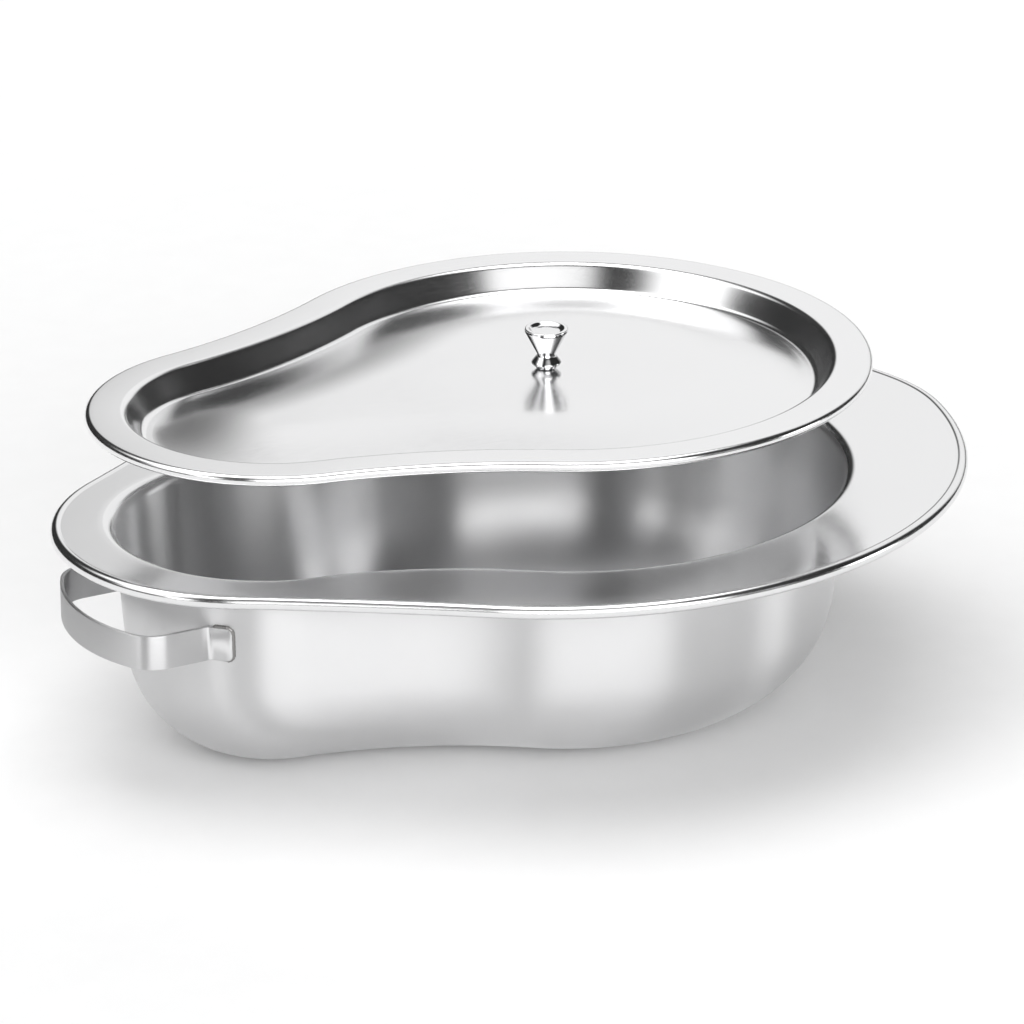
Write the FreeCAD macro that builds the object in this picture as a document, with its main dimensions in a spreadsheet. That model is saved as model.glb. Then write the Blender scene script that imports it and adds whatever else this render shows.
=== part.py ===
import FreeCAD, Part
import math
import os
import Sketcher
from FreeCAD import Vector

# Stainless ward bedpan with a lift-off lid.
# +X points to the wide seat end, -X to the narrow end with the strap handle, +Z up.
# The origin lies on the table, under the middle of the pan. All sizes are in millimetres and degrees.

doc = FreeCAD.newDocument("bedpan")
sheet = doc.addObject("Spreadsheet::Sheet", "sheet")

SIZES = [
    ("pan_depth", 87.0),
    ("pan_sheet", 1.0),
    ("wall_draft", 4.65),
    ("base_round", 42.0),
    ("mouth_round", 5.0),
    ("mouth_front_x", -100.0),
    ("mouth_front_round", 56.0),
    ("mouth_waist_round", 156.0),
    ("mouth_rear_x", 21.5),
    ("mouth_rear_round", 105.0),
    ("rim_front_x", -106.0),
    ("rim_front_round", 74.0),
    ("rim_waist_round", 1480.0),
    ("rim_side_x", 22.5),
    ("rim_side_y", 17.8),
    ("rim_side_round", 159.5),
    ("rim_rear_round", 76.6),
    ("flange_inset", 3.7),
    ("bead_round", 2.5),
    ("bead_rise", 0.4),
    ("bead_sheet", 0.9),
    ("bead_start", 40.0),
    ("bead_end", 340.0),
    ("lid_lift", 42.5),
    ("lid_sheet", 0.8),
    ("lid_front_x", -96.0),
    ("lid_front_round", 69.5),
    ("lid_waist_round", 229.0),
    ("lid_rear_x", 23.2),
    ("lid_rear_round", 113.0),
    ("lid_lip_round", 2.0),
    ("lid_lip_sheet", 0.7),
    ("lid_lip_start", 80.0),
    ("lid_lip_end", 350.0),
    ("lid_flange_width", 14.5),
    ("well_depth", 9.5),
    ("well_run", 6.0),
    ("well_round", 3.0),
    ("crown_start", 5.0),
    ("crown_mid", 19.0),
    ("crown_end", 42.0),
    ("crown_mid_rise", 2.9),
    ("crown_rise", 4.5),
    ("knob_x", 14.4),
    ("knob_height", 10.8),
    ("knob_top_radius", 8.0),
    ("knob_top_land", 1.3),
    ("knob_top_bevel", 0.5),
    ("knob_rim_width", 1.5),
    ("knob_dish_edge", 2.7),
    ("knob_dish", 1.2),
    ("knob_neck_radius", 3.4),
    ("knob_neck_land", 0.5),
    ("knob_bore_depth", 8.0),
    ("ferrule_height", 5.0),
    ("ferrule_radius", 5.5),
    ("ferrule_foot_bevel", 2.2),
    ("ferrule_foot_height", 2.1),
    ("ferrule_band", 0.6),
    ("ferrule_top_bevel", 1.8),
    ("ring_bore", 2.1),
    ("panel_hole", 2.2),
    ("screw_radius", 1.95),
    ("screw_bore", 2.0),
    ("screw_length", 13.0),
    ("screw_tip_bevel", 0.5),
    ("screw_head_radius", 4.0),
    ("screw_head_height", 2.4),
    ("screw_head_bevel", 0.9),
    ("driver_slot_width", 1.0),
    ("washer_radius", 6.0),
    ("washer_sheet", 1.0),
    ("strap_width", 13.0),
    ("strap_sheet", 1.5),
    ("strap_drop", 27.0),
    ("strap_reach_x", -177.6),
    ("strap_half_width", 37.2),
    ("strap_corner", 13.0),
    ("strap_front_round", 64.0),
    ("bend_round", 3.0),
    ("tab_angle", 50.0),
    ("tab_corner", 2.4),
    ("tab_gap", 0.02),
    ("weld_leg", 0.9),
]
for row, (alias, value) in enumerate(SIZES, start=1):
    sheet.set("A%d" % row, alias)
    sheet.set("B%d" % row, str(value))
    sheet.setAlias("B%d" % row, alias)
doc.recompute()

LEVEL = 1e-4
SAME_PLACE = 0.01
LID_TOP = "sheet.pan_depth + sheet.lid_lift"
WELL_FLOOR = LID_TOP + " - sheet.well_depth"
PANEL_TOP = WELL_FLOOR + " + sheet.crown_rise"
LEAN = "tan(sheet.wall_draft)"
WALL_RADIUS = "sheet.mouth_front_round + sheet.pan_sheet + sheet.tab_gap - (%s) * " + LEAN
STRAP_MID = "sheet.pan_depth - sheet.strap_drop"
STRAP_LINE = "sheet.strap_half_width - sheet.strap_sheet / 2"
WELD_TURN = "sheet.weld_leg / (sheet.mouth_front_round * pi / 180)"


def size(text):
    # Value of a sheet name, or of an expression that uses sheet names.
    return float(sheet.evalExpression(text if "sheet." in text else "sheet." + text))


def new_body(name):
    body = doc.addObject("PartDesign::Body", name)
    body.Label = name
    body.Placement = FreeCAD.Placement()
    return body


def sketch_on(body, name, role, height=None):
    # Sketch on one of the body's own planes, raised to a height expression.
    plane = next(item for item in body.Origin.OriginFeatures if item.Role == role)
    sketch = body.newObject("Sketcher::SketchObject", name)
    sketch.AttachmentSupport = [(plane, "")]
    sketch.MapMode = "FlatFace"
    if height is not None:
        sketch.setExpression("AttachmentOffset.Base.z", height)
    return sketch


def drive(sketch, name, text, kind, *where):
    # Dimension whose value is a sheet expression.
    index = sketch.addConstraint(Sketcher.Constraint(kind, *where, size(text)))
    sketch.renameConstraint(index, name)
    sketch.setExpression("Constraints." + name, text)


def add_arc(sketch, centre, radius, start, end):
    circle = Part.Circle(Vector(centre[0], centre[1], 0), Vector(0, 0, 1), radius)
    return sketch.addGeometry(Part.ArcOfCircle(circle, start, end), False)


def add_line(sketch, start, end):
    return sketch.addGeometry(Part.LineSegment(Vector(*start, 0), Vector(*end, 0)), False)


def add_polygon(sketch, corners):
    # Closed chain of lines in an empty sketch; line n starts at corner n.
    for here, after in zip(corners, corners[1:] + corners[:1]):
        add_line(sketch, here, after)
    for number in range(len(corners)):
        after = (number + 1) % len(corners)
        sketch.addConstraint(Sketcher.Constraint("Coincident", number, 2, after, 1))


def add_rectangle(sketch, left, right, low, high):
    add_polygon(sketch, [(left, low), (right, low), (right, high), (left, high)])
    for number, kind in enumerate(("Horizontal", "Vertical", "Horizontal", "Vertical")):
        sketch.addConstraint(Sketcher.Constraint(kind, number))


def waist_centre(front, side, radius):
    # Centre of the hollow waist arc that touches the front circle and the side circle.
    front_reach = front[2] + radius
    side_reach = side[2] + radius
    dx = side[0] - front[0]
    dy = side[1] - front[1]
    gap = math.hypot(dx, dy)
    along = (front_reach ** 2 - side_reach ** 2 + gap ** 2) / (2 * gap)
    across = math.sqrt(front_reach ** 2 - along ** 2)
    x = front[0] + (along * dx - across * dy) / gap
    y = front[1] + (along * dy + across * dx) / gap
    return x, y


def pear_circles(plan, grow=0.0):
    # Front, rear and waist circles of a pear plan, each as (x, y, radius).
    front = (size(plan + "_front_x"), 0.0, size(plan + "_front_round") + grow)
    rear = (size(plan + "_rear_x"), 0.0, size(plan + "_rear_round") + grow)
    hollow = size(plan + "_waist_round") - grow
    x, y = waist_centre(front, rear, hollow)
    return front, rear, (x, y, hollow)


def join_arcs(sketch, loop):
    # Each arc runs anticlockwise. A hollow arc is passed from its end back to its start.
    for here, after in zip(loop, loop[1:] + loop[:1]):
        leave = 1 if here[1] else 2
        enter = 2 if after[1] else 1
        sketch.addConstraint(Sketcher.Constraint("Tangent", here[0], leave, after[0], enter))


def pear_outline(sketch, plan, grow):
    # Closed pear of four tangent arcs, offset outwards by a grow expression.
    front, rear, (x, y, hollow) = pear_circles(plan, size(grow))
    front_turn = math.atan2(y, x - front[0])
    rear_turn = math.atan2(y, x - rear[0])
    rear_arc = add_arc(sketch, rear, rear[2], -rear_turn, rear_turn)
    front_arc = add_arc(sketch, front, front[2], front_turn, 2 * math.pi - front_turn)
    upper = add_arc(sketch, (x, y), hollow, front_turn + math.pi, rear_turn + math.pi)
    lower = add_arc(sketch, (x, -y), hollow, math.pi - rear_turn, math.pi - front_turn)
    join_arcs(sketch, [(rear_arc, False), (upper, True), (front_arc, False), (lower, True)])
    for arc, name in ((front_arc, "front"), (rear_arc, "rear")):
        sketch.addConstraint(Sketcher.Constraint("PointOnObject", arc, 3, -1))
        drive(sketch, name + "_x", "sheet.%s_%s_x" % (plan, name), "DistanceX", -1, 1, arc, 3)
        drive(sketch, name + "_round", "sheet.%s_%s_round + (%s)" % (plan, name, grow), "Radius", arc)
    for arc, name in ((upper, "upper"), (lower, "lower")):
        drive(sketch, name + "_waist", "sheet.%s_waist_round - (%s)" % (plan, grow), "Radius", arc)


def rim_outline(sketch, grow):
    # Closed rim of six tangent arcs: front end, two nearly straight flanks, two sides, rear end.
    offset = size(grow)
    front = (size("rim_front_x"), 0.0, size("rim_front_round") + offset)
    side = (size("rim_side_x"), -size("rim_side_y"), size("rim_side_round") + offset)
    hollow = size("rim_waist_round") - offset
    rear_round = size("rim_rear_round") + offset
    rear_x = side[0] + math.sqrt((side[2] - rear_round) ** 2 - side[1] ** 2)
    x, y = waist_centre(front, side, hollow)
    front_turn = math.atan2(y, x - front[0])
    side_turn = math.atan2(y - side[1], x - side[0])
    rear_turn = math.atan2(-side[1], rear_x - side[0])
    rear = add_arc(sketch, (rear_x, 0.0), rear_round, -rear_turn, rear_turn)
    upper_side = add_arc(sketch, side, side[2], rear_turn, side_turn)
    upper = add_arc(sketch, (x, y), hollow, front_turn + math.pi, side_turn + math.pi)
    end = add_arc(sketch, front, front[2], front_turn, 2 * math.pi - front_turn)
    lower = add_arc(sketch, (x, -y), hollow, math.pi - side_turn, math.pi - front_turn)
    lower_side = add_arc(sketch, (side[0], -side[1]), side[2], -side_turn, -rear_turn)
    loop = [(rear, False), (upper_side, False), (upper, True), (end, False), (lower, True)]
    join_arcs(sketch, loop + [(lower_side, False)])
    sketch.addConstraint(Sketcher.Constraint("PointOnObject", end, 3, -1))
    drive(sketch, "front_x", "sheet.rim_front_x", "DistanceX", -1, 1, end, 3)
    drive(sketch, "front_round", "sheet.rim_front_round + (%s)" % grow, "Radius", end)
    for arc, name, sign in ((upper_side, "upper", -1), (lower_side, "lower", 1)):
        drive(sketch, name + "_side_x", "sheet.rim_side_x", "DistanceX", -1, 1, arc, 3)
        drive(sketch, name + "_side_y", "%d * sheet.rim_side_y" % sign, "DistanceY", -1, 1, arc, 3)
        drive(sketch, name + "_side_round", "sheet.rim_side_round + (%s)" % grow, "Radius", arc)
    for arc, name in ((upper, "upper"), (lower, "lower")):
        drive(sketch, name + "_waist", "sheet.rim_waist_round - (%s)" % grow, "Radius", arc)
    drive(sketch, "rear_round", "sheet.rim_rear_round + (%s)" % grow, "Radius", rear)


def loft(body, kind, name, plan, sections):
    # Each section is (height expression, outward offset expression).
    sketches = []
    for number, (height, grow) in enumerate(sections):
        sketch = sketch_on(body, "%s_%d" % (name, number), "XY_Plane", height)
        pear_outline(sketch, plan, grow)
        sketches.append(sketch)
    feature = body.newObject("PartDesign::" + kind, name)
    feature.Profile = sketches[0]
    feature.Sections = sketches[1:]
    feature.Ruled = True
    doc.recompute()
    return feature


def extrude(body, kind, name, sketch, length, upwards=False):
    # Pad, or pocket that cuts downwards unless told otherwise.
    feature = body.newObject("PartDesign::" + kind, name)
    feature.Profile = sketch
    feature.Reversed = upwards
    feature.setExpression("Length", length)
    doc.recompute()
    return feature


def level_edges(feature, height, plan, nearest=-math.inf, farthest=math.inf):
    # Level edges at one height on a pear plan's own circles, between two offsets from the plan.
    names = []
    for number, edge in enumerate(feature.Shape.Edges, start=1):
        box = edge.BoundBox
        if max(abs(box.ZMin - height), abs(box.ZMax - height)) > LEVEL or not hasattr(edge.Curve, "Center"):
            continue
        middle = edge.Curve.Center
        for x, y, radius in pear_circles(plan):
            if math.hypot(middle.x - x, abs(middle.y) - y) > SAME_PLACE:
                continue
            outward = edge.Curve.Radius - radius if y == 0 else radius - edge.Curve.Radius
            if nearest < outward < farthest:
                names.append("Edge%d" % number)
    return names


def fillet(body, name, base, edges, radius):
    feature = body.newObject("PartDesign::Fillet", name)
    feature.Base = (base, edges)
    feature.setExpression("Radius", radius)
    doc.recompute()
    return feature


def curl_section(body, name, x, height, outer, sheet_thickness, start, end):
    # Open curl: two concentric arcs closed by short radial lines. Everything is an expression.
    sketch = sketch_on(body, name, "XZ_Plane")
    centre = (size(x), size(height))
    inner = "%s - %s" % (outer, sheet_thickness)
    turns = [math.radians(size(turn)) for turn in (start, end)]
    outer_arc = add_arc(sketch, centre, size(outer), *turns)
    inner_arc = add_arc(sketch, centre, size(inner), *turns)
    sketch.addConstraint(Sketcher.Constraint("Coincident", outer_arc, 3, inner_arc, 3))
    drive(sketch, "x", x, "DistanceX", -1, 1, outer_arc, 3)
    drive(sketch, "z", height, "DistanceY", -1, 1, outer_arc, 3)
    drive(sketch, "outer", outer, "Radius", outer_arc)
    drive(sketch, "inner", inner, "Radius", inner_arc)
    for turn, end_point in zip(turns, (1, 2)):
        tips = [
            (centre[0] + reach * math.cos(turn), centre[1] + reach * math.sin(turn))
            for reach in (size(inner), size(outer))
        ]
        line = add_line(sketch, *tips)
        sketch.addConstraint(Sketcher.Constraint("Coincident", line, 1, inner_arc, end_point))
        sketch.addConstraint(Sketcher.Constraint("Coincident", line, 2, outer_arc, end_point))
        sketch.addConstraint(Sketcher.Constraint("Angle", line, turn))
    doc.recompute()
    return sketch


def sweep(body, name, spine, section):
    feature = body.newObject("PartDesign::AdditivePipe", name)
    feature.Profile = section
    feature.Spine = (spine, [])
    doc.recompute()
    return feature


def make_pan_shell():
    # One drawn sheet: tapered pear bowl with a broad flat rim that ends in a rolled edge.
    body = new_body("pan_shell")
    depth, thick = size("pan_depth"), size("pan_sheet")
    half_way = "sheet.pan_sheet / 2"
    loft(body, "AdditiveLoft", "bowl_outside", "mouth", [
        ("sheet.pan_depth - " + half_way, "sheet.pan_sheet - %s * %s" % (half_way, LEAN)),
        ("0 * sheet.pan_depth", "sheet.pan_sheet - sheet.pan_depth * " + LEAN),
    ])
    plate = sketch_on(body, "flange_plan", "XY_Plane", "sheet.pan_depth - sheet.pan_sheet")
    rim_outline(plate, "-sheet.flange_inset")
    flange = extrude(body, "Pad", "flange", plate, "sheet.pan_sheet")
    under = level_edges(flange, depth - thick, "mouth")
    fillet(body, "flange_under_rounding", flange, under, "sheet.mouth_round - sheet.pan_sheet")
    inside = loft(body, "SubtractiveLoft", "bowl_inside", "mouth", [
        ("sheet.pan_depth", "0 * sheet.pan_sheet"),
        ("sheet.pan_sheet", "-(sheet.pan_depth - sheet.pan_sheet) * " + LEAN),
    ])
    corner = level_edges(inside, thick, "mouth")
    floor = fillet(body, "floor_rounding", inside, corner, "sheet.base_round - sheet.pan_sheet")
    base = fillet(body, "base_rounding", floor, level_edges(floor, 0.0, "mouth"), "sheet.base_round")
    fillet(body, "mouth_rounding", base, level_edges(base, depth, "mouth"), "sheet.mouth_round")
    height = "sheet.pan_depth + sheet.bead_rise - sheet.bead_round"
    spine = sketch_on(body, "bead_path", "XY_Plane", height)
    rim_outline(spine, "-sheet.bead_round")
    x = "sheet.rim_front_x - sheet.rim_front_round + sheet.bead_round"
    section = curl_section(
        body, "bead_section", x, height, "sheet.bead_round", "sheet.bead_sheet",
        "sheet.bead_start", "sheet.bead_end",
    )
    sweep(body, "bead", spine, section)
    return body


def make_lid_shell():
    # Drawn lid: flange with a rolled edge, shallow well and a gently crowned pear panel.
    body = new_body("lid_shell")
    top, thick = size(LID_TOP), size("lid_sheet")
    floor_height = size(WELL_FLOOR)
    mouth = -size("lid_flange_width")
    foot = mouth - size("well_run")
    foot_text = "-sheet.lid_flange_width - sheet.well_run"
    plate = sketch_on(body, "flange_plan", "XY_Plane", LID_TOP + " - sheet.lid_sheet")
    pear_outline(plate, "lid", "-sheet.lid_lip_round")
    extrude(body, "Pad", "flange", plate, "sheet.lid_sheet")
    outside = loft(body, "AdditiveLoft", "well_outside", "lid", [
        (LID_TOP + " - sheet.lid_sheet / 2", "sheet.lid_sheet - sheet.lid_flange_width"),
        (WELL_FLOOR + " - sheet.lid_sheet", "sheet.lid_sheet" + foot_text),
    ])
    under = level_edges(outside, top - thick, "lid", farthest=mouth + 1)
    fillet(body, "flange_under_rounding", outside, under, "sheet.well_round - sheet.lid_sheet / 2")
    loft(body, "SubtractiveLoft", "well_inside", "lid", [
        (LID_TOP, "-sheet.lid_flange_width"),
        (WELL_FLOOR, foot_text),
    ])
    rise = [
        (WELL_FLOOR, foot_text + " - sheet.crown_start"),
        (WELL_FLOOR + " + sheet.crown_mid_rise", foot_text + " - sheet.crown_mid"),
        (WELL_FLOOR + " + sheet.crown_rise", foot_text + " - sheet.crown_end"),
    ]
    loft(body, "AdditiveLoft", "crown", "lid", rise)
    hollow = [(height + " - sheet.lid_sheet", grow) for height, grow in rise]
    crown = loft(body, "SubtractiveLoft", "crown_hollow", "lid", hollow)
    corner = level_edges(crown, floor_height, "lid", nearest=foot - 1)
    floor = fillet(body, "well_floor_rounding", crown, corner, "sheet.well_round")
    below = level_edges(floor, floor_height - thick, "lid", nearest=foot + thick - 1)
    heel = fillet(body, "well_base_rounding", floor, below, "sheet.well_round + sheet.lid_sheet / 2")
    rim = level_edges(heel, top, "lid", farthest=mouth + 1)
    fillet(body, "well_mouth_rounding", heel, rim, "sheet.well_round")
    hole = sketch_on(body, "screw_hole_plan", "XY_Plane", PANEL_TOP)
    circle = Part.Circle(Vector(size("knob_x"), 0, 0), Vector(0, 0, 1), size("panel_hole"))
    hole.addGeometry(circle, False)
    hole.addConstraint(Sketcher.Constraint("PointOnObject", 0, 3, -1))
    drive(hole, "x", "sheet.knob_x", "DistanceX", -1, 1, 0, 3)
    drive(hole, "radius", "sheet.panel_hole", "Radius", 0)
    extrude(body, "Pocket", "screw_hole", hole, "sheet.lid_sheet * 3")
    height = LID_TOP + " - sheet.lid_lip_round"
    spine = sketch_on(body, "lip_path", "XY_Plane", height)
    pear_outline(spine, "lid", "-sheet.lid_lip_round")
    x = "sheet.lid_front_x - sheet.lid_front_round + sheet.lid_lip_round"
    section = curl_section(
        body, "lip_section", x, height, "sheet.lid_lip_round", "sheet.lid_lip_sheet",
        "sheet.lid_lip_start", "sheet.lid_lip_end",
    )
    sweep(body, "lip", spine, section)
    return body


def turned(name, corners):
    # Body turned about the knob's upright axis from (radius, height) expressions.
    body = new_body(name)
    sketch = sketch_on(body, name + "_section", "XZ_Plane")
    sketch.setExpression("AttachmentOffset.Base.x", "sheet.knob_x")
    add_polygon(sketch, [(size(radius), size(height)) for radius, height in corners])
    for number, (radius, height) in enumerate(corners):
        drive(sketch, "r%d" % number, radius, "DistanceX", -1, 1, number, 1)
        drive(sketch, "z%d" % number, height, "DistanceY", -1, 1, number, 1)
    doc.recompute()
    feature = body.newObject("PartDesign::Revolution", name + "_turning")
    feature.Profile = sketch
    feature.ReferenceAxis = (sketch, ["V_Axis"])
    feature.Angle = 360
    doc.recompute()
    return body


def make_knob():
    # Dished head that tapers to a narrow neck, drilled from below for its screw.
    foot = PANEL_TOP + " + sheet.ferrule_height"
    top = foot + " + sheet.knob_height"
    axis = "0 * sheet.knob_x"
    return turned("knob", [
        ("sheet.screw_bore", foot),
        ("sheet.knob_neck_radius", foot),
        ("sheet.knob_neck_radius", foot + " + sheet.knob_neck_land"),
        ("sheet.knob_top_radius", top + " - sheet.knob_top_land"),
        ("sheet.knob_top_radius", top + " - sheet.knob_top_bevel"),
        ("sheet.knob_top_radius - sheet.knob_top_bevel", top),
        ("sheet.knob_top_radius - sheet.knob_rim_width", top),
        ("sheet.knob_top_radius - sheet.knob_dish_edge", top + " - sheet.knob_dish"),
        (axis, top + " - sheet.knob_dish"),
        (axis, foot + " + sheet.knob_bore_depth"),
        ("sheet.screw_bore", foot + " + sheet.knob_bore_depth - sheet.screw_bore / 2"),
    ])


def make_ferrule():
    # Bevelled foot ring between the knob's neck and the lid panel.
    band = PANEL_TOP + " + sheet.ferrule_foot_height"
    top = PANEL_TOP + " + sheet.ferrule_height"
    return turned("knob_ferrule", [
        ("sheet.ring_bore", PANEL_TOP),
        ("sheet.ferrule_radius - sheet.ferrule_foot_bevel", PANEL_TOP),
        ("sheet.ferrule_radius", band),
        ("sheet.ferrule_radius", band + " + sheet.ferrule_band"),
        ("sheet.ferrule_radius - sheet.ferrule_top_bevel", top),
        ("sheet.ring_bore", top),
    ])


def make_washer():
    # Flat washer that spreads the screw's load under the thin panel.
    under = PANEL_TOP + " - sheet.lid_sheet"
    low = under + " - sheet.washer_sheet"
    return turned("knob_washer", [
        ("sheet.ring_bore", low),
        ("sheet.washer_radius", low),
        ("sheet.washer_radius", under),
        ("sheet.ring_bore", under),
    ])


def make_screw():
    # Pan head screw that holds the knob from below, with a straight driver slot.
    seat = PANEL_TOP + " - sheet.lid_sheet - sheet.washer_sheet"
    head = seat + " - sheet.screw_head_height"
    tip = seat + " + sheet.screw_length"
    axis = "0 * sheet.knob_x"
    body = turned("knob_screw", [
        (axis, head),
        ("sheet.screw_head_radius - sheet.screw_head_bevel", head),
        ("sheet.screw_head_radius", head + " + sheet.screw_head_bevel"),
        ("sheet.screw_head_radius", seat),
        ("sheet.screw_radius", seat),
        ("sheet.screw_radius", tip + " - sheet.screw_tip_bevel"),
        ("sheet.screw_radius - sheet.screw_tip_bevel", tip),
        (axis, tip),
    ])
    slot = sketch_on(body, "driver_slot_plan", "XY_Plane", head)
    slot.setExpression("AttachmentOffset.Base.x", "sheet.knob_x")
    reach, half_width = size("screw_head_radius") + 1, size("driver_slot_width") / 2
    add_rectangle(slot, -reach, reach, -half_width, half_width)
    slot.addConstraint(Sketcher.Constraint("Symmetric", 0, 1, 1, 2, -1, 1))
    drive(slot, "length", "2 * sheet.screw_head_radius + 2", "DistanceX", 0, 1, 0, 2)
    drive(slot, "width", "sheet.driver_slot_width", "DistanceY", 1, 1, 1, 2)
    extrude(body, "Pocket", "driver_slot", slot, "sheet.screw_head_height / 2", upwards=True)
    return body


def wall_band(body, kind, name, reach, outward, half_angle):
    # Part of a cone on the sloping front wall, within a reach above and below the strap's middle line.
    sketch = sketch_on(body, name + "_section", "XZ_Plane")
    sketch.setExpression("AttachmentOffset.Base.x", "sheet.mouth_front_x")
    low_wall = WALL_RADIUS % ("sheet.strap_drop + (%s)" % reach)
    high_wall = WALL_RADIUS % ("sheet.strap_drop - (%s)" % reach)
    low, high = STRAP_MID + " - (%s)" % reach, STRAP_MID + " + (%s)" % reach
    corners = [
        (low_wall, low),
        (low_wall + " + " + outward, low),
        (high_wall + " + " + outward, high),
        (high_wall, high),
    ]
    add_polygon(sketch, [(-size(x), size(z)) for x, z in corners])
    for number, (x, z) in enumerate(corners):
        drive(sketch, "x%d" % number, x, "DistanceX", number, 1, -1, 1)
        drive(sketch, "z%d" % number, z, "DistanceY", -1, 1, number, 1)
    doc.recompute()
    feature = body.newObject("PartDesign::" + kind, name)
    feature.Profile = sketch
    feature.ReferenceAxis = (sketch, ["V_Axis"])
    feature.Midplane = True
    feature.setExpression("Angle", "2 * (%s)" % half_angle)
    doc.recompute()
    return feature


def clear_front(body, name):
    # Removes the band between the two tabs, where the strap stands off the wall.
    sketch = sketch_on(body, name + "_plan", "XY_Plane", "sheet.pan_depth")
    half = size(STRAP_LINE)
    add_rectangle(sketch, size("mouth_front_x") * 2, size("mouth_front_x"), -half, half)
    drive(sketch, "near", "sheet.mouth_front_x", "DistanceX", -1, 1, 1, 1)
    drive(sketch, "length", "-sheet.mouth_front_x", "DistanceX", 0, 1, 0, 2)
    drive(sketch, "low", STRAP_LINE, "DistanceY", 0, 1, -1, 1)
    drive(sketch, "high", STRAP_LINE, "DistanceY", -1, 1, 2, 1)
    return extrude(body, "Pocket", name, sketch, "sheet.strap_drop * 2")


def tab_end_edges(feature, half_angle):
    # Short level edges that cross the sheet at the tabs' outer ends.
    names = []
    for number, edge in enumerate(feature.Shape.Edges, start=1):
        middle = edge.valueAt((edge.FirstParameter + edge.LastParameter) / 2)
        turn = math.degrees(math.atan2(abs(middle.y), size("mouth_front_x") - middle.x))
        level = edge.BoundBox.ZLength < LEVEL
        short = edge.Length < 2 * size("strap_sheet")
        if level and short and abs(turn - half_angle) < 0.05:
            names.append("Edge%d" % number)
    return names


def strap_path(body):
    # Open bow in plan: wall bend, straight leg, corner, bowed front run, and the same back.
    sketch = sketch_on(body, "strap_path", "XY_Plane", STRAP_MID)
    half_sheet = size("strap_sheet") / 2
    wall = size(WALL_RADIUS % "sheet.strap_drop - sheet.strap_width / 2") + half_sheet
    leg = size(STRAP_LINE)
    bend = size("bend_round")
    corner = size("strap_corner") - half_sheet
    front_round = size("strap_front_round") - half_sheet
    front_x = size("strap_reach_x") + size("strap_front_round")
    bend_x = size("mouth_front_x") - math.sqrt((wall + bend) ** 2 - (leg + bend) ** 2)
    turn = math.atan2(leg + bend, size("mouth_front_x") - bend_x)
    corner_x = front_x - math.sqrt((front_round - corner) ** 2 - (leg - corner) ** 2)
    join = math.atan2(leg - corner, corner_x - front_x)
    upper_bend = add_arc(sketch, (bend_x, leg + bend), bend, -math.pi / 2, -turn)
    upper_leg = add_line(sketch, (bend_x, leg), (corner_x, leg))
    upper_corner = add_arc(sketch, (corner_x, leg - corner), corner, math.pi / 2, join)
    run = add_arc(sketch, (front_x, 0.0), front_round, join, 2 * math.pi - join)
    lower_corner = add_arc(sketch, (corner_x, corner - leg), corner, 2 * math.pi - join, 1.5 * math.pi)
    lower_leg = add_line(sketch, (corner_x, -leg), (bend_x, -leg))
    lower_bend = add_arc(sketch, (bend_x, -leg - bend), bend, turn, math.pi / 2)
    ends = [
        (upper_bend, 1, upper_leg, 1),
        (upper_leg, 2, upper_corner, 1),
        (upper_corner, 2, run, 1),
        (run, 2, lower_corner, 1),
        (lower_corner, 2, lower_leg, 1),
        (lower_leg, 2, lower_bend, 2),
    ]
    for joint in ends:
        sketch.addConstraint(Sketcher.Constraint("Tangent", *joint))
    sketch.addConstraint(Sketcher.Constraint("PointOnObject", run, 3, -1))
    drive(sketch, "run_x", "sheet.strap_reach_x + sheet.strap_front_round", "DistanceX", -1, 1, run, 3)
    drive(sketch, "run_round", "sheet.strap_front_round - sheet.strap_sheet / 2", "Radius", run)
    halves = (
        ("upper", upper_leg, upper_corner, upper_bend, 1),
        ("lower", lower_leg, lower_corner, lower_bend, -1),
    )
    for name, leg_line, corner_arc, bend_arc, sign in halves:
        sketch.addConstraint(Sketcher.Constraint("Horizontal", leg_line))
        drive(sketch, name + "_leg", "%d * (%s)" % (sign, STRAP_LINE), "DistanceY", -1, 1, leg_line, 1)
        drive(sketch, name + "_corner", "sheet.strap_corner - sheet.strap_sheet / 2", "Radius", corner_arc)
        drive(sketch, name + "_bend", "sheet.bend_round", "Radius", bend_arc)
        sketch.addConstraint(Sketcher.Constraint("DistanceX", -1, 1, bend_arc, 3, bend_x))
    return sketch


def make_handle_strap():
    # Flat strip bent to a bow, with two rounded tabs that lie on the sloping front wall.
    body = new_body("handle_strap")
    wall_band(body, "Revolution", "tabs", "sheet.strap_width / 2", "sheet.strap_sheet", "sheet.tab_angle")
    tabs = clear_front(body, "tab_gap")
    fillet(body, "tab_corners", tabs, tab_end_edges(tabs, size("tab_angle")), "sheet.tab_corner")
    spine = strap_path(body)
    section = sketch_on(body, "strap_section", "XZ_Plane")
    left, low = size("strap_reach_x"), size(STRAP_MID + " - sheet.strap_width / 2")
    add_rectangle(section, left, left + size("strap_sheet"), low, low + size("strap_width"))
    drive(section, "left", "sheet.strap_reach_x", "DistanceX", -1, 1, 0, 1)
    drive(section, "thick", "sheet.strap_sheet", "DistanceX", 0, 1, 0, 2)
    drive(section, "low", STRAP_MID + " - sheet.strap_width / 2", "DistanceY", -1, 1, 0, 1)
    drive(section, "tall", "sheet.strap_width", "DistanceY", 1, 1, 1, 2)
    doc.recompute()
    sweep(body, "strap", spine, section)
    return body


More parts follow.
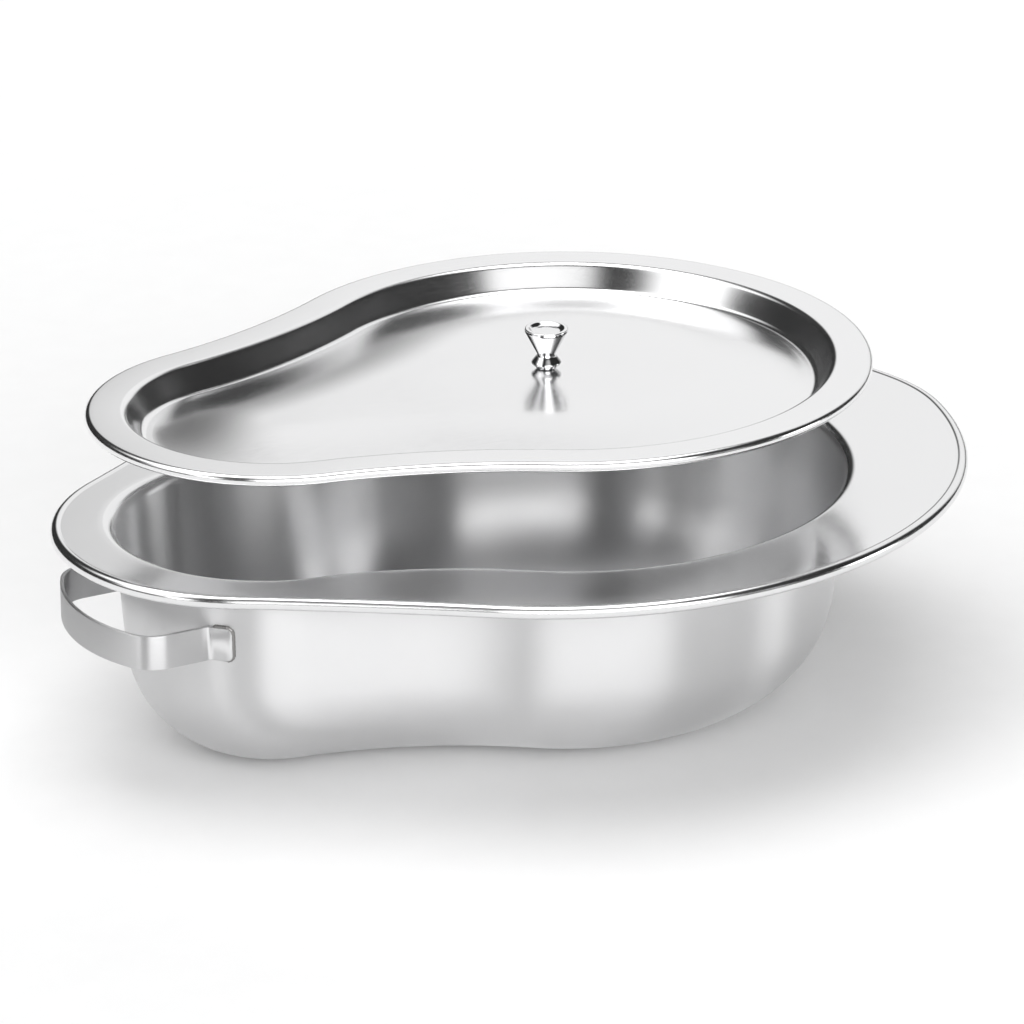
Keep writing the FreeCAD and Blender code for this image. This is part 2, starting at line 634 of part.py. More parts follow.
def make_handle_welds():
    # Narrow ground weld round the top, end and bottom of each tab.
    body = new_body("handle_welds")
    inner = "sheet.strap_width / 2"
    outer = inner + " + sheet.weld_leg"
    weld_angle = "sheet.tab_angle + " + WELD_TURN
    wall_band(body, "Revolution", "weld_frame", outer, "sheet.weld_leg", weld_angle)
    clear_front(body, "weld_gap")
    groove = wall_band(body, "Groove", "weld_window", inner, "3 * sheet.weld_leg", "sheet.tab_angle")
    inside = tab_end_edges(groove, size("tab_angle"))
    rounded = fillet(body, "weld_inner_corners", groove, inside, "sheet.tab_corner")
    outside = tab_end_edges(rounded, size(weld_angle))
    fillet(body, "weld_outer_corners", rounded, outside, "sheet.tab_corner + sheet.weld_leg")
    return body


bodies = [
    make_pan_shell(),
    make_handle_strap(),
    make_handle_welds(),
    make_lid_shell(),
    make_knob(),
    make_ferrule(),
    make_washer(),
    make_screw(),
]
doc.recompute()
for item in doc.Objects:
    if "Invalid" in item.State or "Error" in item.State:
        raise RuntimeError("%s failed: %s" % (item.Name, item.State))
for body in bodies:
    if body.Shape.isNull() or not body.Shape.isValid():
        raise RuntimeError("%s has no valid shape" % body.Label)
os.makedirs("parts", exist_ok=True)
for body in bodies:
    body.Shape.exportStep("parts/%s.step" % body.Label)
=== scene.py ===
import math

import bmesh
import bpy
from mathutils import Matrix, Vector, noise


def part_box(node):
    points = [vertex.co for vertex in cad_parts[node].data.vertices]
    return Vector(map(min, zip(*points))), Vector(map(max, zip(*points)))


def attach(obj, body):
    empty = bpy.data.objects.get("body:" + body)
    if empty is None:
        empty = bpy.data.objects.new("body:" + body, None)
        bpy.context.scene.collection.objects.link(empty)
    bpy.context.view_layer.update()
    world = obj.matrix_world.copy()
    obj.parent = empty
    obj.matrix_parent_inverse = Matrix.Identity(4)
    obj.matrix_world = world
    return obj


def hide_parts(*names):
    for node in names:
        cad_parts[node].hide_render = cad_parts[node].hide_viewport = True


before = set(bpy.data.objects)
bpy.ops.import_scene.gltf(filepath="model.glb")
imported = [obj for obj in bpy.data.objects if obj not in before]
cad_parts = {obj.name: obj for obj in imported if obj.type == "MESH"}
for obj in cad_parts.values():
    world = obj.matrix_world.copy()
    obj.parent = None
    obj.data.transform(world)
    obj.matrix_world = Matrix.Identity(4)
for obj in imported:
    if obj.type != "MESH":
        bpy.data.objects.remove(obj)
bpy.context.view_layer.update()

# Stainless ward bedpan with a lift-off lid.
# Drawing sizes are in millimetres, angles in degrees and meshes in metres.
MM = 0.001
AROUND = 384
RIM_STEPS = 8

MOUTH = {"front": (-100.0, 56.0), "rear": (21.5, 105.0), "waist": 156.0}
LID = {"front": (-96.0, 69.5), "rear": (23.2, 113.0), "waist": 229.0}
RIM = {"front": (-106.0, 74.0), "side": (22.5, -17.8, 159.5), "waist": 1480.0, "rear": 76.6}
BEAD_RISE = 0.4
BEAD_ROUND = 2.5
BEAD_SHEET = 0.9
BEAD_END = -160.0
BEAD_RETURN = 8.0
PAN_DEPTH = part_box("pan_shell")[1][2] / MM - BEAD_RISE
PAN_SHEET = 1.0
WALL_LEAN = math.tan(math.radians(4.65))
BASE_ROUND = 42.0
MOUTH_ROUND = 5.0
RIM_LEAD = 2.0
FLOOR_LEAD = 4.0
CREASE_RUN = 0.5
CREASE_GAP = 0.08
UNDER_GAP = 0.9
SATIN_EDGE = 1.5
LID_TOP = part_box("lid_shell")[1][2] / MM
LID_SHEET = 0.8
LIP_ROUND = 2.0
LIP_SHEET = 0.7
LIP_START = 95.0
LIP_END = -170.0
LIP_RUN = 1.5
LIP_CREASE = 0.7
FLANGE_WIDTH = 14.5
WELL_DEPTH = 9.5
WELL_RUN = 6.0
WELL_ROUND = 3.0
WELL_LEAD = 3.6
CROWN_START = 4.5
CROWN_END = 44.0
CROWN_RISE = 4.5
CROWN_RING = 1.5
CROWN_RINGS = 29
INNER_RING = 46.0
FINISH_WANDER = 0.00022
FINISH_SIZE = 0.07
KNOB_NECK = 3.4
KNOB_NECK_LAND = 0.8
KNOB_FLARE = 0.15
KNOB_BAND = 1.1
KNOB_BAND_BEVEL = 0.4
KNOB_RIM_WIDTH = 1.4
KNOB_DISH_WIDTH = 1.3
KNOB_DISH_DEPTH = 1.2
KNOB_DISH_FLOOR = 1.0
FERRULE_FOOT = 2.2
FERRULE_BAND = 0.4
FERRULE_TAPER = 1.8
FERRULE_SHOULDER = 0.8
STRAP_LOW, STRAP_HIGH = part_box("handle_strap")
STRAP_MID = (STRAP_LOW[2] + STRAP_HIGH[2]) / 2 / MM
STRAP_WIDTH = (STRAP_HIGH[2] - STRAP_LOW[2]) / MM
STRAP_REACH = STRAP_LOW[0] / MM
STRAP_SHEET = 1.5
STRAP_HALF = 37.2
STRAP_CORNER = 13.0
STRAP_FRONT_ROUND = 64.0
STRAP_BEND = 3.0
STRAP_EDGE = 0.35
STRAP_GAP = 0.03
TAB_ANGLE = 50.0
TAB_CORNER = 2.4
WELD_ROUND = 0.8
FINISH_SEED = 7
WELD_RUN = 7.0
WELD_RIPPLE = 0.07
CAMERA_AZIMUTH = -28.36
CAMERA_ELEVATION = 21.63
CAMERA_DISTANCE = 2.0
CAMERA_LENS = 189.5
CAMERA_SHIFT = -0.042
BRUSH_LINES = (2600.0, (0.1, 0.1, 1.0))
SMUDGE_SCALE = 16.0
SMUDGE_TINT = 0.95
FLOOR_SIZE = 14.0
FLOOR_DARK = (0.90, 0.90, 0.90, 1)
FLOOR_PALE = (0.93, 0.93, 0.93, 1)
ROOM_LIGHT = 0.03
# Azimuth, elevation, half width, half height, soft edge, strength. Angles are in degrees.
STUDIO_PANELS = (
    (44, 28, 23, 20, 6, 1.0),
    (178, 36, 15, 20, 7, 1.4),
    (-100, 19, 26, 14, 5, 4.4),
    (-158, 15, 6, 10, 4, 3.0),
    (-104, 43, 20, 9, 5, 1.2),
    (-55, 15, 4, 8, 3, 0.6),
    (-24, 7, 8, 9, 3, 4.0),
    (60, 86, 22, 22, 8, 2.8),
    (146, 54, 20, 18, 9, 1.5),
)


def waist_centre(front, side, radius):
    """Centre of the hollow waist arc that touches the front circle and the side circle."""
    front_reach = front[2] + radius
    side_reach = side[2] + radius
    dx = side[0] - front[0]
    dy = side[1] - front[1]
    gap = math.hypot(dx, dy)
    along = (front_reach ** 2 - side_reach ** 2 + gap ** 2) / (2 * gap)
    across = math.sqrt(front_reach ** 2 - along ** 2)
    x = front[0] + (along * dx - across * dy) / gap
    y = front[1] + (along * dy + across * dx) / gap
    return x, y


def pear_outline(plan):
    """Points and outward normals, (x, y, nx, ny), evenly spaced round a pear of tangent arcs."""
    front = (plan["front"][0], 0.0, plan["front"][1])
    rear = (plan["rear"][0], 0.0, plan["rear"][1])
    cx, cy = waist_centre(front, rear, plan["waist"])
    front_turn = math.atan2(cy, cx - front[0])
    rear_turn = math.atan2(cy, cx - rear[0])
    arcs = [
        (rear[0], 0.0, rear[2], 0.0, rear_turn, 1),
        (cx, cy, plan["waist"], rear_turn + math.pi, front_turn + math.pi, -1),
        (front[0], 0.0, front[2], front_turn, math.pi, 1),
    ]
    lengths = [radius * abs(end - start) for x, y, radius, start, end, side in arcs]
    total = sum(lengths)
    half = []
    for number in range(AROUND // 2 + 1):
        travel = total * number / (AROUND // 2)
        piece = 0
        while piece < len(arcs) - 1 and travel > lengths[piece]:
            travel -= lengths[piece]
            piece += 1
        x, y, radius, start, end, side = arcs[piece]
        turn = start + (end - start) * travel / lengths[piece]
        half.append((
            x + radius * math.cos(turn), y + radius * math.sin(turn),
            side * math.cos(turn), side * math.sin(turn),
        ))
    half[0] = (half[0][0], 0.0, 1.0, 0.0)
    half[-1] = (half[-1][0], 0.0, -1.0, 0.0)
    return half + [(x, -y, nx, -ny) for x, y, nx, ny in half[-2:0:-1]]


def rim_arcs():
    """The rim's half outline from the rear round to the front tip: (x, y, radius, start, end, side)."""
    side_x, side_y, side_round = RIM["side"]
    front_x, front_round = RIM["front"]
    rear_round = RIM["rear"]
    rear_x = side_x + math.sqrt((side_round - rear_round) ** 2 - side_y ** 2)
    x, y = waist_centre((front_x, 0.0, front_round), RIM["side"], RIM["waist"])
    front_turn = math.atan2(y, x - front_x)
    side_turn = math.atan2(y - side_y, x - side_x)
    rear_turn = math.atan2(-side_y, rear_x - side_x)
    return [
        (rear_x, 0.0, rear_round, 0.0, rear_turn, 1),
        (side_x, side_y, side_round, rear_turn, side_turn, 1),
        (x, y, RIM["waist"], side_turn + math.pi, front_turn + math.pi, -1),
        (front_x, 0.0, front_round, front_turn, math.pi, 1),
    ]


def crossing(px, py, nx, ny, arc):
    """Point and outward normal where a ray meets an arc, or None if it misses."""
    cx, cy, radius, start, end, side = arc
    dx, dy = px - cx, py - cy
    along = dx * nx + dy * ny
    inside = along * along - (dx * dx + dy * dy - radius * radius)
    if inside < 0:
        return None
    reach = -along + side * math.sqrt(inside)
    qx, qy = px + nx * reach, py + ny * reach
    turn = math.atan2(qy - cy, qx - cx)
    low, high = min(start, end), max(start, end)
    if turn < low - 0.001:
        turn += 2 * math.pi
    if reach < 0 or not low - 0.001 <= turn <= high + 0.001:
        return None
    return qx, qy, side * math.cos(turn), side * math.sin(turn)


def rim_outline(mouth):
    """Where each mouth normal meets the rim's outer edge, with the rim's own outward normal there."""
    arcs = rim_arcs()
    points = []
    for px, py, nx, ny in mouth:
        flip = -1.0 if py < 0 else 1.0
        hits = [crossing(px, py * flip, nx, ny * flip, arc) for arc in arcs]
        x, y, dx, dy = next(hit for hit in hits if hit)
        points.append((x, y * flip, dx, dy * flip))
    return points


def ring(outline, grow, height):
    return [Vector((x + nx * grow, y + ny * grow, height)) * MM for x, y, nx, ny in outline]


def between(inner, outer, share):
    return [p.lerp(q, share) for p, q in zip(inner, outer)]


def rounded(corners, steps=14, run_steps=6):
    """Section line through corners (x, y, radius), with an arc at each inner corner."""
    line = [Vector(corners[0][:2])]
    for before, here, after in zip(corners, corners[1:], corners[2:]):
        point = Vector(here[:2])
        back_way = (Vector(before[:2]) - point).normalized()
        next_way = (Vector(after[:2]) - point).normalized()
        half = math.acos(max(-1.0, min(1.0, back_way.dot(next_way)))) / 2
        middle = point + (back_way + next_way).normalized() * (here[2] / math.sin(half))
        start = point + back_way * (here[2] / math.tan(half))
        end = point + next_way * (here[2] / math.tan(half))
        run_start = line[-1]
        line += [run_start.lerp(start, step / run_steps) for step in range(1, run_steps)]
        first, last = start - middle, end - middle
        turn = first.angle_signed(last)
        for step in range(steps + 1):
            angle = -turn * step / steps
            arm = Vector((
                first.x * math.cos(angle) - first.y * math.sin(angle),
                first.x * math.sin(angle) + first.y * math.cos(angle),
            ))
            line.append(middle + arm)
    line.append(Vector(corners[-1][:2]))
    return [(point.x, point.y) for point in line]


def turn_steps(start, end, count):
    return [math.radians(start + (end - start) * step / count) for step in range(count + 1)]


def curl(outline, rings, height, outer, inner, start, end, steps=26):
    """Adds the rings of a rolled edge: round its outside and back along its inside."""
    for turn in turn_steps(start, end, steps):
        rings.append(ring(outline, outer * (math.cos(turn) - 1), height + outer * math.sin(turn)))
    for turn in turn_steps(end, start + BEAD_RETURN, steps):
        rings.append(ring(outline, inner * math.cos(turn) - outer, height + inner * math.sin(turn)))


def new_object(name, points, faces):
    mesh = bpy.data.meshes.new(name)
    mesh.from_pydata(points, [], faces)
    mesh.validate()
    obj = bpy.data.objects.new(name, mesh)
    bpy.context.scene.collection.objects.link(obj)
    work = bmesh.new()
    work.from_mesh(mesh)
    bmesh.ops.recalc_face_normals(work, faces=work.faces)
    work.to_mesh(mesh)
    work.free()
    for face in mesh.polygons:
        face.use_smooth = True
    return obj


def skin(name, rings):
    """Closed sheet from rings of points joined by quads, with both ends filled."""
    count = len(rings[0])
    points = [point for row in rings for point in row]
    faces = []
    for row in range(len(rings) - 1):
        here, above = row * count, (row + 1) * count
        for col in range(count):
            after = (col + 1) % count
            faces.append((here + col, here + after, above + after, above + col))
    last = (len(rings) - 1) * count
    faces.append(tuple(reversed(range(count))))
    faces.append(tuple(range(last, last + count)))
    return new_object(name, points, faces)


def hand_finished(obj, offset):
    """Moves both faces of a sheet together by a fraction of a millimetre, as drawn sheet really lies."""
    for vertex in obj.data.vertices:
        place = Vector(vertex.co) / FINISH_SIZE + Vector((offset, 0, 0))
        vertex.co += noise.noise_vector(place) * FINISH_WANDER


def make_pan():
    """Bowl, flat rim and rolled bead as one sheet with its real thickness."""
    mouth = pear_outline(MOUTH)
    rim = rim_outline(mouth)

    def wall(height, sheet):
        return sheet - (PAN_DEPTH - height) * WALL_LEAN

    inside = rounded([
        (wall(PAN_SHEET, 0) - BASE_ROUND - FLOOR_LEAD, PAN_SHEET, 0),
        (wall(PAN_SHEET, 0), PAN_SHEET, BASE_ROUND - PAN_SHEET),
        (wall(PAN_DEPTH, 0), PAN_DEPTH, MOUTH_ROUND),
        (MOUTH_ROUND + RIM_LEAD, PAN_DEPTH, 0),
    ])
    rings = [ring(mouth, grow, height) for grow, height in inside]
    bead_height = PAN_DEPTH + BEAD_RISE - BEAD_ROUND
    crease_turn = math.asin((PAN_DEPTH - bead_height) / BEAD_ROUND)
    crease = -BEAD_ROUND * (1 + math.cos(crease_turn))
    rim_edge = ring(rim, crease - CREASE_RUN, PAN_DEPTH)
    rings += [between(rings[-1], rim_edge, step / RIM_STEPS) for step in range(1, RIM_STEPS)]
    rings.append(rim_edge)
    rings.append(ring(rim, crease - CREASE_GAP, PAN_DEPTH))
    crease_angle = 180 - math.degrees(crease_turn)
    curl(rim, rings, bead_height, BEAD_ROUND, BEAD_ROUND - BEAD_SHEET, crease_angle, BEAD_END)
    under = PAN_DEPTH - PAN_SHEET
    outside = rounded([
        (MOUTH_ROUND + RIM_LEAD, under, 0),
        (wall(under, PAN_SHEET), under, MOUTH_ROUND - PAN_SHEET),
        (wall(0, PAN_SHEET), 0, BASE_ROUND),
        (wall(0, PAN_SHEET) - BASE_ROUND - FLOOR_LEAD, 0, 0),
    ])
    under_edge = ring(rim, crease - UNDER_GAP, under)
    outer_rings = [ring(mouth, grow, height) for grow, height in outside]
    rings += [between(under_edge, outer_rings[0], step / RIM_STEPS) for step in range(RIM_STEPS)]
    rings += outer_rings
    pan = skin("pan_sheet", rings)
    hand_finished(pan, 3.0)
    satin_rows = sum(height < PAN_DEPTH - SATIN_EDGE for grow, height in inside)
    wall_row = len(rings) - len(outer_rings)
    # The outside of the wall and base takes a darker copy of the same steel: painted shade.
    for material in (pan_steel, bowl_steel, wall_steel_painted_shade):
        pan.data.materials.append(material)
    for number, face in enumerate(pan.data.polygons):
        row = number // AROUND
        face.material_index = 1 if row < satin_rows else 2 if row >= wall_row else 0
    pan.data.polygons[-2].material_index = 1
    return pan


def crown(inward):
    """Height of the lid panel at a distance inside the foot of its well."""
    share = min(max((inward - CROWN_START) / (CROWN_END - CROWN_START), 0.0), 1.0)
    dome = 1 - (1 - share) ** 2
    ease = share * share * (3 - 2 * share)
    return CROWN_RISE * (dome + ease) / 2


def make_lid():
    """Flange, rolled lip, well and crowned panel as one sheet with its real thickness."""
    plan = pear_outline(LID)
    foot = -FLANGE_WIDTH - WELL_RUN
    floor = LID_TOP - WELL_DEPTH
    distances = [INNER_RING - CROWN_RING * step for step in range(CROWN_RINGS)]
    rings = [ring(plan, foot - inward, floor + crown(inward)) for inward in distances]
    top = rounded([
        (foot - WELL_LEAD, floor, 0),
        (foot, floor, WELL_ROUND),
        (-FLANGE_WIDTH, LID_TOP, WELL_ROUND),
        (-LIP_ROUND - LIP_RUN, LID_TOP, 0),
    ])
    rings += [ring(plan, grow, height) for grow, height in top]
    rings.append(ring(plan, -LIP_ROUND - LIP_CREASE, LID_TOP))
    curl(plan, rings, LID_TOP - LIP_ROUND, LIP_ROUND, LIP_ROUND - LIP_SHEET, LIP_START, LIP_END)
    below = rounded([
        (-LIP_ROUND - LIP_CREASE, LID_TOP - LID_SHEET, 0),
        (LID_SHEET - FLANGE_WIDTH, LID_TOP - LID_SHEET, WELL_ROUND - LID_SHEET / 2),
        (LID_SHEET + foot, floor - LID_SHEET, WELL_ROUND + LID_SHEET / 2),
        (foot - WELL_LEAD, floor - LID_SHEET, 0),
    ])
    rings += [ring(plan, grow, height) for grow, height in below]
    for inward in reversed(distances):
        rings.append(ring(plan, foot - inward, floor - LID_SHEET + crown(inward)))
    lid = skin("lid_sheet", rings)
    hand_finished(lid, 9.0)
    return lid


def lathe(name, profile, axis_x, segments=96):
    """Solid turned about an upright axis from (radius, height) points that start and end on it."""
    points = [Vector((axis_x, 0, profile[0][1] * MM))]
    for radius, height in profile[1:-1]:
        for number in range(segments):
            turn = 2 * math.pi * number / segments
            points.append(Vector((
                axis_x + radius * MM * math.cos(turn), radius * MM * math.sin(turn), height * MM,
            )))
    points.append(Vector((axis_x, 0, profile[-1][1] * MM)))
    faces = []
    for number in range(segments):
        after = (number + 1) % segments
        faces.append((0, 1 + after, 1 + number))
        last = len(points) - 1 - segments
        faces.append((len(points) - 1, last + number, last + after))
    for row in range(len(profile) - 3):
        here, above = 1 + row * segments, 1 + (row + 1) * segments
        for number in range(segments):
            after = (number + 1) % segments
            faces.append((here + number, here + after, above + after, above + number))
    return new_object(name, points, faces)


def make_knob():
    """Turned knob: narrow neck, straight taper, thin rim and dished top."""
    low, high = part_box("knob")
    axis_x = (low[0] + high[0]) / 2
    foot, top = low[2] / MM, high[2] / MM
    wide = (high[0] - low[0]) / 2 / MM
    side = rounded([
        (KNOB_NECK, foot, 0),
        (KNOB_NECK, foot + KNOB_NECK_LAND, 0.6),
        (wide - KNOB_FLARE, top - KNOB_BAND - KNOB_BAND_BEVEL, 0.3),
        (wide, top - KNOB_BAND, 0.3),
        (wide, top, 0.45),
        (wide - KNOB_RIM_WIDTH, top, 0.4),
        (wide - KNOB_RIM_WIDTH - KNOB_DISH_WIDTH, top - KNOB_DISH_DEPTH, 1.2),
        (KNOB_DISH_FLOOR, top - KNOB_DISH_DEPTH, 0),
    ], steps=6, run_steps=4)
    return lathe("knob_turned", [(0.0, foot)] + side + [(0.0, top - KNOB_DISH_DEPTH)], axis_x)


def make_ferrule():
    """Turned foot: flares from the knob's neck to a soft edge and narrows to the lid."""
    low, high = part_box("knob_ferrule")
    axis_x = (low[0] + high[0]) / 2
    foot, top = low[2] / MM, high[2] / MM
    wide = (high[0] - low[0]) / 2 / MM
    side = rounded([
        (wide - FERRULE_FOOT, foot, 0),
        (wide, foot + FERRULE_FOOT, 0.5),
        (wide, foot + FERRULE_FOOT + FERRULE_BAND, 0.5),
        (wide - FERRULE_TAPER, top, 0.3),
        (wide - FERRULE_TAPER - FERRULE_SHOULDER, top, 0),
    ], steps=6, run_steps=4)
    return lathe("ferrule_turned", [(0.0, foot)] + side + [(0.0, top)], axis_x)


def wall_radius(height):
    """Outer radius of the sloping front wall about its own upright axis, at a height."""
    return MOUTH["front"][1] + PAN_SHEET - (PAN_DEPTH - height) * WALL_LEAN


def strap_line():
    """Stations along half the strap, from the tab's end to the front: (x, y, outward x, outward y, lean)."""
    centre_x = MOUTH["front"][0]
    half_sheet = STRAP_SHEET / 2
    radius = wall_radius(STRAP_MID) + half_sheet + STRAP_GAP
    leg = STRAP_HALF - half_sheet
    bend_x = centre_x - math.sqrt((radius + STRAP_BEND) ** 2 - (leg + STRAP_BEND) ** 2)
    turn = math.atan2(leg + STRAP_BEND, centre_x - bend_x)
    corner = STRAP_CORNER - half_sheet
    front_round = STRAP_FRONT_ROUND - half_sheet
    front_x = STRAP_REACH + STRAP_FRONT_ROUND
    corner_x = front_x - math.sqrt((front_round - corner) ** 2 - (leg - corner) ** 2)
    join = math.atan2(leg - corner, corner_x - front_x)
    stations = []
    tab_end = math.radians(TAB_ANGLE)
    spacing = [0, 0.1, 0.3, 0.7, 1.2, 1.8, TAB_CORNER]
    steps = [gap / radius for gap in spacing]
    rest = tab_end - turn
    steps += [steps[-1] + (rest - steps[-1]) * step / 6 for step in range(1, 7)]
    for step in steps:
        angle = tab_end - step
        stations.append((
            centre_x - radius * math.cos(angle), radius * math.sin(angle),
            -math.cos(angle), math.sin(angle), 1.0,
        ))
    for step in range(1, 13):
        share = step / 12
        angle = turn + (math.pi / 2 - turn) * share
        out = (-math.cos(angle), math.sin(angle))
        stations.append((
            bend_x - STRAP_BEND * out[0], leg + STRAP_BEND - STRAP_BEND * out[1], out[0], out[1], 1 - share,
        ))
    for step in range(1, 6):
        stations.append((bend_x + (corner_x - bend_x) * step / 6, leg, 0.0, 1.0, 0.0))
    for step in range(17):
        angle = math.pi / 2 + (join - math.pi / 2) * step / 16
        out = (math.cos(angle), math.sin(angle))
        stations.append((corner_x + corner * out[0], leg - corner + corner * out[1], out[0], out[1], 0.0))
    for step in range(1, 21):
        angle = join + (math.pi - join) * step / 20
        out = (math.cos(angle), math.sin(angle))
        stations.append((front_x + front_round * out[0], front_round * out[1], out[0], out[1], 0.0))
    return stations


def tab_taper(distance):
    """How much shorter each edge of the tab is at a distance from its rounded end."""
    if distance >= TAB_CORNER:
        return 0.0
    return TAB_CORNER - math.sqrt(TAB_CORNER ** 2 - (TAB_CORNER - distance) ** 2)


def make_strap():
    """Flat strip with softened edges, bent to a bow, its two tabs leaning with the wall."""
    half_line = strap_line()
    line = half_line + [(x, -y, nx, -ny, lean) for x, y, nx, ny, lean in half_line[-2::-1]]
    half_sheet = STRAP_SHEET / 2
    section = []
    for cx, cy, start in ((1, 1, 0), (-1, 1, 90), (-1, -1, 180), (1, -1, 270)):
        for turn in turn_steps(start, start + 90, 4):
            section.append((cx, cy, STRAP_EDGE * math.cos(turn), STRAP_EDGE * math.sin(turn)))
    travelled = [0.0]
    for here, after in zip(line, line[1:]):
        travelled.append(travelled[-1] + math.hypot(after[0] - here[0], after[1] - here[1]))
    rings = []
    for (x, y, nx, ny, lean), travel in zip(line, travelled):
        half_height = STRAP_WIDTH / 2 - tab_taper(min(travel, travelled[-1] - travel))
        row = []
        for cx, cy, ex, ey in section:
            out = cx * (half_sheet - STRAP_EDGE) + ex
            up = cy * (half_height - STRAP_EDGE) + ey
            out += lean * WALL_LEAN * up
            row.append(Vector((x + nx * out, y + ny * out, STRAP_MID + up)) * MM)
        rings.append(row)
    return skin("strap_bent", rings)


def weld_outline(side):
    """Points on the wall just outside one tab's top, end and bottom edges, with the outward normal."""
    radius = wall_radius(STRAP_MID)
    end = math.radians(TAB_ANGLE) * radius
    start = end - WELD_RUN
    half = STRAP_WIDTH / 2
    corners = [(start, half, 0), (end, half, TAB_CORNER), (end, -half, TAB_CORNER), (start, -half, 0)]
    points = []
    for along, up in rounded(corners, steps=12, run_steps=14):
        angle = along / radius
        reach = wall_radius(STRAP_MID + up) + 0.15
        out = Vector((-math.cos(angle), side * math.sin(angle), -WALL_LEAN)).normalized()
        place = Vector((MOUTH["front"][0], 0, STRAP_MID + up))
        place += Vector((out.x, out.y, 0)).normalized() * reach
        points.append((place, out))
    return points


def make_weld(side, name):
    """Ground weld bead round three edges of a tab, with a faint ripple along it."""
    points = weld_outline(side)
    rings = []
    for number, (place, out) in enumerate(points):
        before = points[max(number - 1, 0)][0]
        after = points[min(number + 1, len(points) - 1)][0]
        way = (after - before).normalized()
        across = way.cross(out).normalized()
        ends = min(number, len(points) - 1 - number)
        ripple = 1 + WELD_RIPPLE * math.sin(number * 1.9 + side)
        radius = WELD_ROUND * ripple * min(1.0, 0.5 + 0.25 * ends)
        row = []
        for turn in turn_steps(0, 330, 11):
            row.append((place + (across * math.cos(turn) + out * math.sin(turn)) * radius) * MM)
        rings.append(row)
    return skin(name, rings)


def noise_texture(tree, coords, scale, detail, stretch=(1.0, 1.0, 1.0)):
    mapping = tree.nodes.new("ShaderNodeMapping")
    mapping.inputs["Scale"].default_value = stretch
    tree.links.new(coords.outputs["Object"], mapping.inputs["Vector"])
    texture = tree.nodes.new("ShaderNodeTexNoise")
    texture.inputs["Scale"].default_value = scale
    texture.inputs["Detail"].default_value = detail
    tree.links.new(mapping.outputs["Vector"], texture.inputs["Vector"])
    return texture


def steel(name, colour, rough, grain, stretch, bump, brushed=0.0):
    """Stainless steel. Smudges and grain vary the roughness, and a faint relief breaks reflections up.

    A brushed finish has its lines round the upright axis, so that reflections spread up and down.
    """
    material = bpy.data.materials.new(name)
    material.use_nodes = True
    tree = material.node_tree
    shader = tree.nodes["Principled BSDF"]
    shader.inputs["Metallic"].default_value = 1.0
    coords = tree.nodes.new("ShaderNodeTexCoord")
    smudge = noise_texture(tree, coords, SMUDGE_SCALE, 5.0)
    fine = noise_texture(tree, coords, grain, 3.0, stretch)
    blend = tree.nodes.new("ShaderNodeMath")
    blend.operation = "MULTIPLY_ADD"
    blend.inputs[1].default_value = 0.5
    tree.links.new(fine.outputs["Fac"], blend.inputs[0])
    tree.links.new(smudge.outputs["Fac"], blend.inputs[2])
    spread = tree.nodes.new("ShaderNodeMapRange")
    spread.inputs["From Min"].default_value = 0.5
    spread.inputs["From Max"].default_value = 1.0
    spread.inputs["To Min"].default_value = rough[0]
    spread.inputs["To Max"].default_value = rough[1]
    tree.links.new(blend.outputs["Value"], spread.inputs["Value"])
    tree.links.new(spread.outputs["Result"], shader.inputs["Roughness"])
    tint = tree.nodes.new("ShaderNodeMix")
    tint.data_type = "RGBA"
    tint.inputs["A"].default_value = (*[part * SMUDGE_TINT for part in colour], 1)
    tint.inputs["B"].default_value = (*colour, 1)
    tree.links.new(smudge.outputs["Fac"], tint.inputs["Factor"])
    tree.links.new(tint.outputs["Result"], shader.inputs["Base Color"])
    relief = tree.nodes.new("ShaderNodeBump")
    relief.inputs["Strength"].default_value = bump
    relief.inputs["Distance"].default_value = 0.0001
    tree.links.new(fine.outputs["Fac"], relief.inputs["Height"])
    tree.links.new(relief.outputs["Normal"], shader.inputs["Normal"])
    if brushed:
        tangent = tree.nodes.new("ShaderNodeTangent")
        tangent.direction_type = "RADIAL"
        tangent.axis = "Z"
        shader.inputs["Anisotropic"].default_value = brushed
        shader.inputs["Anisotropic Rotation"].default_value = 0.25
        tree.links.new(tangent.outputs["Tangent"], shader.inputs["Tangent"])
    return material


def finish_piece(obj, material, body, node):
    if not obj.data.materials:
        obj.data.materials.append(material)
    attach(obj, body)
    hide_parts(node)


pan_steel = steel("pan_steel", (0.82, 0.82, 0.825), (0.12, 0.22), 1400.0, (1.0, 0.15, 1.0), 0.02)
bowl_steel = steel("bowl_steel", (0.84, 0.84, 0.845), (0.28, 0.38), *BRUSH_LINES, 0.02, brushed=0.9)
# The outer wall has a darker base colour than the rest of the same sheet: painted shade for the wall's
# darker reflections.
wall_steel_painted_shade = steel("wall_steel_painted_shade", (0.74, 0.74, 0.745), (0.30, 0.40), *BRUSH_LINES, 0.02, brushed=0.95)
lid_steel = steel("lid_steel", (0.85, 0.85, 0.855), (0.14, 0.24), 1400.0, (0.15, 1.0, 1.0), 0.02)
handle_steel = steel("handle_steel", (0.66, 0.66, 0.665), (0.36, 0.48), *BRUSH_LINES, 0.04, brushed=0.95)
# The weld beads are real metal, but their near-black colour is painted shade along the tab's top, end and
# bottom edges.
weld_steel = steel("weld_steel", (0.28, 0.275, 0.27), (0.25, 0.45), 1200.0, (1.0, 1.0, 1.0), 0.25)
knob_steel = steel("knob_steel", (0.82, 0.82, 0.825), (0.05, 0.12), 1500.0, (0.1, 0.1, 1.0), 0.06)
fastener_steel = steel("fastener_steel", (0.62, 0.62, 0.63), (0.2, 0.4), 900.0, (1.0, 1.0, 1.0), 0.1)

